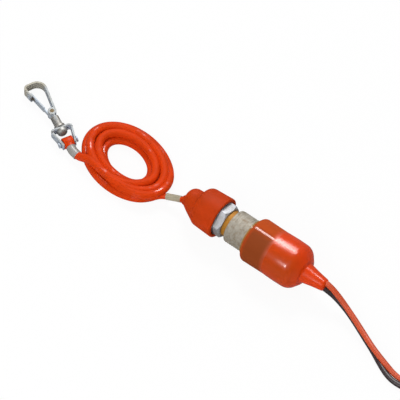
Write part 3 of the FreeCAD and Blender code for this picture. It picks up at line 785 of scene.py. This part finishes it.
@dataclass
class Thread:
    """Screw thread as a ridge that winds round the switch's axis, in millimetres from the panel seat."""

    name: str
    radius: float
    start: float
    length: float
    pitch: float
    crest: float
    steps: int = 48
    ridge_sides: int = 6

    def tree(self, finish: Finish) -> bpy.types.NodeTree:
        """Node tree that sweeps a ridge along a spiral.

        Args:
            finish: Finish of the ridge.

        Returns:
            The tree, with one input for each size.
        """
        tree = bpy.data.node_groups.new(self.name, "GeometryNodeTree")
        tree.interface.new_socket("Geometry", in_out="OUTPUT", socket_type="NodeSocketGeometry")
        for size in ("Radius", "Length", "Turns", "Crest", "Start", "Height"):
            tree.interface.new_socket(size, in_out="INPUT", socket_type="NodeSocketFloat")
        nodes, links = tree.nodes, tree.links
        sizes = nodes.new("NodeGroupInput")
        spiral = nodes.new("GeometryNodeCurveSpiral")
        spiral.inputs["Resolution"].default_value = self.steps
        links.new(sizes.outputs["Turns"], spiral.inputs["Rotations"])
        links.new(sizes.outputs["Radius"], spiral.inputs["Start Radius"])
        links.new(sizes.outputs["Radius"], spiral.inputs["End Radius"])
        links.new(sizes.outputs["Length"], spiral.inputs["Height"])
        ridge = nodes.new("GeometryNodeCurvePrimitiveCircle")
        ridge.inputs["Resolution"].default_value = self.ridge_sides
        links.new(sizes.outputs["Crest"], ridge.inputs["Radius"])
        sweep = nodes.new("GeometryNodeCurveToMesh")
        sweep.inputs["Fill Caps"].default_value = True
        links.new(spiral.outputs["Curve"], sweep.inputs["Curve"])
        links.new(ridge.outputs["Curve"], sweep.inputs["Profile Curve"])
        place = nodes.new("ShaderNodeCombineXYZ")
        links.new(sizes.outputs["Start"], place.inputs["X"])
        links.new(sizes.outputs["Height"], place.inputs["Z"])
        lay = nodes.new("GeometryNodeTransform")
        lay.inputs["Rotation"].default_value = (0, math.pi / 2, 0)
        links.new(sweep.outputs["Mesh"], lay.inputs["Geometry"])
        links.new(place.outputs["Vector"], lay.inputs["Translation"])
        real = nodes.new("GeometryNodeRealizeInstances")
        links.new(lay.outputs["Geometry"], real.inputs["Geometry"])
        coat = nodes.new("GeometryNodeSetMaterial")
        coat.inputs["Material"].default_value = finish.material()
        links.new(real.outputs["Geometry"], coat.inputs["Geometry"])
        links.new(coat.outputs["Geometry"], nodes.new("NodeGroupOutput").inputs["Geometry"])
        return tree

    def build(self, finish: Finish) -> bpy.types.Object:
        """Makes the thread as a plain mesh.

        Args:
            finish: Finish of the ridge.

        Returns:
            The new piece.
        """
        holder = bpy.data.objects.new(self.name + "_maker", bpy.data.meshes.new(self.name + "_maker"))
        bpy.context.scene.collection.objects.link(holder)
        modifier = holder.modifiers.new("thread", "NODES")
        modifier.node_group = self.tree(finish)
        sizes = {
            "Radius": self.radius * MM, "Length": self.length * MM, "Turns": self.length / self.pitch,
            "Crest": self.crest * MM, "Start": from_seat((self.start, 0, 0)).x, "Height": AXIS_HEIGHT,
        }
        for item in modifier.node_group.interface.items_tree:
            if item.in_out == "INPUT":
                modifier[item.identifier] = sizes[item.name]
        return mesh_piece(self.name, plain_mesh(holder), finish, Body.SWITCH)


@dataclass
class SwitchBody:
    """Boot, bushing, nut and what they hold, in millimetres."""

    barrel_thread: Thread = field(default_factory=lambda: Thread(
        "barrel_thread", radius=9.03, start=0.9, length=10.2, pitch=1.3, crest=0.16))
    front_thread: Thread = field(default_factory=lambda: Thread(
        "front_thread", radius=7.0, start=-11.4, length=8.4, pitch=1.3, crest=0.2))
    boot: TurnedSkin = field(default_factory=lambda: TurnedSkin([
        (11.4, 9.1, 0), (11.4, 10.0, 0.3), (12.4, 10.0, 0.1), (12.4, 12.42, 2.3), (26.4, 12.26, 16.0),
        (33.6, 12.52, 60.0), (42.0, 12.36, 6.4), (46.1, 7.5, 1.6), (46.7, 5.5, 0.8), (52.6, 4.25, 40.0),
        (59.4, 3.2, 1.5), (59.4, 0, 0), (44.5, 0, 0), (44.5, 3.45, 0), (42.0, 9.6, 0), (36.6, 9.6, 0),
        (36.6, 10.9, 0), (13.9, 10.9, 0), (13.9, 9.1, 0)]))
    bushing_edge: float = 0.12
    nut_edge: float = 0.3

    def build(self) -> None:
        """Moulds the boot, eases the metal, cuts the threads and dresses the rest."""
        boot = mesh_piece("boot_skin", self.boot.mesh(), BOOT_RED, Body.SWITCH)
        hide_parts("rubber_boot")
        eased("threaded_bushing", BARREL, Body.SWITCH, self.bushing_edge)
        eased("panel_nut", PLATED, Body.SWITCH, self.nut_edge)
        for node, finish in {
            "switch_can": SPRING, "insulating_liner": PALE, "contact_blade_left": BRASS,
            "contact_blade_right": BRASS, "terminal_base": DARK, "return_spring": SPRING,
            "inner_lead_red": LEAD_RED, "inner_lead_black": LEAD_BLACK, "plunger": PALE,
            "plunger_o_ring": SEAL, "contact_bridge": BRASS, "retaining_clip": SPRING,
        }.items():
            finish.dress(node)
        for thread in (self.barrel_thread, self.front_thread):
            thread.build(BARREL)


@dataclass
class KillCap:
    """Pull-off cap with its insert, snap ring and cord anchor, in millimetres.

    The root is the thick rubber between the cap's drum and its knob, which sags to the low side.
    """

    cell: float = 0.32
    rounds: int = 10
    root: TurnedSkin = field(default_factory=lambda: TurnedSkin([
        (-28.2, 4.4, 0), (-25.6, 6.0, 0), (-19.2, 9.4, 0), (-19.2, 5.4, 0), (-25.6, 4.2, 0)],
        sag=(0.0, -1.0, -0.52)))

    def build(self) -> None:
        """Melts the cap's edges and the sagging root of its knob, and dresses the rest."""
        softened("cap_shell", CAP_RED, Body.CAP, self.cell, self.rounds, self.root.mesh())
        for node, finish in {"cap_insert": DARK, "snap_ring": SPRING, "cord_anchor": CORD_RED}.items():
            finish.dress(node)


@dataclass
class Track:
    """One turn of the coil: half lengths of its oval, its height at the ends and the sides, and its wave."""

    long: float
    short: float
    end_height: float
    side_height: float
    wave: float


@dataclass
class Lanyard:
    """Coiled lanyard with its two tails, its sleeves and its eye.

    Sizes are in millimetres, the whole length in metres, and angles in degrees. Each turn moves over to the
    next within the share of a turn that is called change. Where the first turn ends, the cord climbs by the
    hump and swings out, to pass over its own start.
    """

    diameter: float = 4.5
    core: float = 3.0
    entry_share: float = 0.9
    eye_edge: float = 0.3
    sleeve_edge: float = 0.08
    length: float = 0.62
    centre: tuple[float, float] = (-70.8, 2.5)
    turned: float = -11.0
    steps: int = 24
    start_angle: float = -18.0
    last_turn: float = 1.24
    change: float = 0.24
    crossing: float = 0.04
    hump: float = 4.4
    swing: float = 1.6
    wobble: float = 0.3
    wobble_across: float = 0.6
    cap_tail: list[Point] = field(default_factory=lambda: [
        (-31.6, -1.08, 8.19), (-35.24, -1.51, 6.59), (-43.8, -4.2, 4.6)])
    hook_tail: list[Point] = field(default_factory=lambda: [
        (-84.0, -10.2, 6.7), (-88.2, -10.6, 5.4), (-92.4, -10.5, 2.95), (-96.452, -9.83, 3.1),
        (-99.017, -8.522, 3.1)])
    tracks: list[Track] = field(default_factory=lambda: [
        Track(25.8, 17.4, 2.3, 2.3, 5.2), Track(20.5, 13.8, 2.3, 2.6, 4.1), Track(15.2, 10.3, 2.3, 2.3, 2.9),
        Track(17.9, 11.8, 5.8, 6.2, 1.7), Track(23.2, 15.0, 5.8, 6.2, 0.3)])

    def coil_points(self) -> list[Vector]:
        """Points of the turns, clockwise from above, each turn moving over from the one before at its start.

        Returns:
            The points in the frame.
        """
        points = []
        heading = math.radians(self.turned)
        for step in range(int((len(self.tracks) - 1 + self.last_turn) * self.steps) + 1):
            run = step / self.steps
            index = min(int(run), len(self.tracks) - 1)
            here, before = self.tracks[index], self.tracks[max(index - 1, 0)]
            share = smooth((run - index) / self.change)
            angle = math.radians(self.start_angle) - 2 * math.pi * run
            wobble = self.wobble * math.sin(2 * angle + here.wave)
            over = smooth((self.change - abs(run - 1.0)) / (self.change - self.crossing))
            long = before.long + (here.long - before.long) * share + wobble + self.swing * over
            short = before.short + (here.short - before.short) * share + wobble * self.wobble_across
            side = math.sin(angle) ** 2
            low = before.end_height + (before.side_height - before.end_height) * side
            high = here.end_height + (here.side_height - here.end_height) * side
            x, y = long * math.cos(angle), short * math.sin(angle)
            points.append(from_seat((self.centre[0] + x * math.cos(heading) - y * math.sin(heading),
                                     self.centre[1] + x * math.sin(heading) + y * math.cos(heading),
                                     low + (high - low) * share + self.hump * over)))
        return points

    def build(self, hook: list[bpy.types.Object]) -> None:
        """Lays the cord and stands its sleeves and its eye on it.

        Args:
            hook: Pieces of the snap hook at its end; not used.
        """
        cap_end, hook_end = ([from_seat(point) for point in tail] for tail in (self.cap_tail, self.hook_tail))
        points = cap_end + self.coil_points() + hook_end
        shares = [self.core / self.diameter] * len(self.cap_tail) + [self.entry_share]
        cord = spline_piece("lanyard_cord", points, self.diameter * MM / 2, CORD_RED, shares)
        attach(cord, Body.CAP.value)
        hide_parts("lanyard_cap_tail", "lanyard_coil", "lanyard_hook_tail")
        fittings = [eased("lanyard_eye", CORD_RED, Body.CAP, self.eye_edge)]
        for node, finish in {"sleeve_cap_end": SLEEVE_GREY, "sleeve_hook_end": SLEEVE_PALE}.items():
            fittings.append(eased(node, finish, Body.CAP, self.sleeve_edge))
        log.info("lanyard laid with %d points", len(points))


@dataclass
class SnapHook:
    """Bow, swivel post, hook and gate, with eased edges in millimetres."""

    edge: float = 0.14

    def build(self) -> list[bpy.types.Object]:
        """Eases the edges of the bent strips and the turned pieces.

        Returns:
            The new pieces.
        """
        return [
            eased("swivel_bow", STRIP, Body.BOW, self.edge),
            eased("bow_pin", STRIP, Body.BOW, self.edge),
            eased("swivel_post", POST, Body.HOOK, self.edge),
            eased("hook_strip", STRIP, Body.HOOK, self.edge),
            eased("gate_pin", RIVET, Body.HOOK, self.edge),
            eased("gate_leaf", STRIP, Body.GATE, self.edge),
        ]


@dataclass
class Lead:
    """One lead with its ring terminal, in millimetres, with its whole length in metres."""

    side: Side
    finish: Finish
    slot: Slot
    route: list[Point]
    diameter: float = 3.0
    length: float = 0.14
    terminal_edge: float = 0.12
    sleeve_edge: float = 0.2

    def build(self) -> None:
        """Lays the lead and eases its terminal."""
        name = "lead_" + self.side.value
        points = [from_seat(point) for point in self.route]
        cord = spline_piece(name + "_cord", points, self.diameter * MM / 2, self.finish)
        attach(cord, Body.SWITCH.value)
        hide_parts(name)
        terminal, sleeve = "ring_terminal_" + self.side.value, "terminal_sleeve_" + self.side.value
        ends = [eased(terminal, TIN, Body.SWITCH, self.terminal_edge),
                eased(sleeve, self.finish, Body.SWITCH, self.sleeve_edge)]
        log.info("%s laid", name)


# Routes of the leads, from inside the strain relief to the ring terminals
RED_ROUTE: list[Point] = [
    (57.1, 0.9, 13.88), (60.8, 0.9, 13.6), (66.8, 0.5, 10.4), (74.2, -1.4, 7.6), (82.2, -4.1, 5.7),
    (90.6, -7.5, 4.6), (99.0, -11.2, 4.6), (107.6, -13.6, 3.4), (115.8, -15.5, 1.6), (122.8, -15.4, 1.5),
    (129.0, -13.0, 1.5), (133.6, -8.6, 1.5), (135.8, -2.8, 1.5), (135.4, 3.7, 1.5), (132.8, 9.8, 1.5),
    (128.4, 16.6, 1.5), (123.4, 23.4, 1.6), (120.0, 31.0, 2.4), (120.0, 38.6, 2.4),
]
BLACK_ROUTE: list[Point] = [
    (57.1, -0.9, 11.12), (60.6, -0.4, 10.3), (66.2, 0.3, 7.0), (73.8, -0.9, 4.2), (81.6, -3.5, 2.35),
    (90.2, -7.2, 1.5), (98.6, -11.0, 1.5), (106.6, -15.3, 1.5), (114.8, -18.8, 1.5), (123.4, -18.8, 1.5),
    (130.8, -16.0, 1.5), (136.3, -10.6, 1.5), (139.2, -3.7, 1.5), (139.0, 3.8, 1.5), (136.2, 11.0, 1.5),
    (131.8, 18.4, 1.5), (129.6, 26.6, 1.6), (129.0, 35.0, 2.4), (129.0, 43.4, 2.4),
]


@dataclass
class Lamp:
    """Square lamp that looks at the switch: direction, distance and side in metres, power in watts."""

    name: str
    way: Point
    distance: float
    size: float
    power: float
    light: Light
    aim: Point = (0.0, 0.0, 10.0)

    def build(self) -> None:
        """Hangs the lamp."""
        data = bpy.data.lights.new(self.name, "AREA")
        data.size = self.size
        data.energy = self.power
        way = Vector(self.way).normalized()
        lamp = bpy.data.objects.new(self.name, data)
        lamp.location = from_seat(self.aim) + way * self.distance
        lamp.rotation_mode = "QUATERNION"
        lamp.rotation_quaternion = (-way).to_track_quat("-Z", "Y")
        lamp.visible_glossy = self.light is not Light.FILL
        lamp.visible_diffuse = self.light is not Light.GLOSS
        bpy.context.scene.collection.objects.link(lamp)


@dataclass
class Studio:
    """Floor, light and camera.

    Angles are in degrees, the aim in millimetres from the panel seat, other lengths in metres, and the
    camera's sensor in its own millimetres.
    """

    azimuth: float = 38.1
    elevation: float = 56.5
    aim: Point = (-17.08, -5.93, 27.29)
    distance: float = 8.0
    view_width: float = 0.2032
    sensor: float = 36.0
    floor_reach: float = 3.0
    floor_grey: float = 0.86
    floor_seen: float = 0.93
    floor_mirrored: float = 0.20
    glow_way: Point = (-0.34, 0.87, 0.36)
    glow_edges: Range = (0.3, 0.97)
    room_dim: float = 0.36
    room_bright: float = 0.85
    room_mirrored: float = 0.20
    lamps: list[Lamp] = field(default_factory=lambda: [
        Lamp("key", (-0.34, 0.49, 0.80), 0.9, 0.24, 3.2, Light.FULL),
        Lamp("gloss", (-0.34, 0.49, 0.80), 0.95, 0.56, 11.0, Light.GLOSS),
        Lamp("fill", (0.14, -0.72, 0.68), 0.9, 0.7, 4.7, Light.FILL),
        Lamp("spark", (-0.12, -0.79, 0.60), 0.9, 0.08, 3.6, Light.GLOSS),
        Lamp("rim", (0.0, 0.46, 0.88), 0.9, 0.20, 2.0, Light.GLOSS)])

    def back(self) -> Vector:
        """Direction from the object to the camera."""
        turn, rise = math.radians(self.azimuth), math.radians(self.elevation)
        return Vector((math.sin(turn) * math.cos(rise), -math.cos(turn) * math.cos(rise), math.sin(rise)))

    def camera(self) -> None:
        """Sets the camera at the photograph's viewing angle."""
        data = bpy.data.cameras.new("camera")
        data.sensor_width = self.sensor
        data.lens = self.sensor * self.distance / self.view_width
        data.clip_end = 3 * self.distance
        camera = bpy.data.objects.new("camera", data)
        camera.location = from_seat(self.aim) + self.back() * self.distance
        camera.rotation_mode = "QUATERNION"
        camera.rotation_quaternion = (-self.back()).to_track_quat("-Z", "Y")
        bpy.context.scene.collection.objects.link(camera)
        bpy.context.scene.camera = camera

    def floor(self) -> None:
        """Lays a plain pale floor that shows as white and keeps the object's shadow."""
        material = bpy.data.materials.new("pale_floor")
        sheet = NodeSheet(material)
        path = sheet.add("ShaderNodeLightPath")
        seen = sheet.spread(path.outputs["Is Camera Ray"], 0.0, 1.0, 0.0, self.floor_seen)
        strength = sheet.spread(path.outputs["Is Glossy Ray"], 0.0, 1.0, 1.0, self.floor_mirrored)
        matt = sheet.add("ShaderNodeBsdfDiffuse", Color=(*[self.floor_grey] * 3, 1.0))
        glow = sheet.add("ShaderNodeEmission", Color=WHITE, Strength=strength)
        mix = sheet.add("ShaderNodeMixShader")
        share = sheet.sum("MAXIMUM", seen, path.outputs["Is Glossy Ray"])
        for socket, source in zip(mix.inputs, (share, matt.outputs[0], glow.outputs[0])):
            sheet.tree.links.new(source, socket)
        sheet.add("ShaderNodeOutputMaterial", Surface=mix.outputs[0])
        mesh = bpy.data.meshes.new("floor")
        reach = self.floor_reach
        mesh.from_pydata([(-reach, -reach, 0), (reach, -reach, 0), (reach, reach, 0), (-reach, reach, 0)], [],
                         [(0, 1, 2, 3)])
        mesh.materials.append(material)
        floor = bpy.data.objects.new("floor", mesh)
        bpy.context.scene.collection.objects.link(floor)

    def room(self) -> None:
        """Fills the room with even light, brighter behind the switch, and white past the floor."""
        world = bpy.data.worlds.new("room")
        bpy.context.scene.world = world
        sheet = NodeSheet(world)
        facing = sheet.measure("DOT_PRODUCT", sheet.add("ShaderNodeTexCoord").outputs["Generated"],
                               Vector(self.glow_way).normalized())
        light = sheet.spread(facing, *self.glow_edges, self.room_dim, self.room_bright)
        path = sheet.add("ShaderNodeLightPath")
        mirrored = sheet.spread(path.outputs["Is Glossy Ray"], 0.0, 1.0, 1.0, self.room_mirrored)
        level = sheet.sum("MAXIMUM", sheet.sum("MULTIPLY", light, mirrored), path.outputs["Is Camera Ray"])
        glow = sheet.add("ShaderNodeBackground", Color=WHITE, Strength=level)
        sheet.add("ShaderNodeOutputWorld", Surface=glow.outputs[0])

    def build(self) -> None:
        """Sets up the whole studio."""
        bpy.context.scene.view_settings.view_transform = "Standard"
        self.camera()
        self.floor()
        self.room()
        for lamp in self.lamps:
            lamp.build()
        log.info("studio set")


def main() -> None:
    """Builds the object in order, then the studio."""
    logging.basicConfig(level=logging.INFO, format="%(name)s: %(message)s")
    Lanyard().build(SnapHook().build())
    Lead(Side.RED, LEAD_RED, Slot.LEAD_RED, RED_ROUTE).build()
    Lead(Side.BLACK, LEAD_BLACK, Slot.LEAD_BLACK, BLACK_ROUTE).build()
    SwitchBody().build()
    KillCap().build()
    Studio().build()


if __name__ == "__main__":
    main()
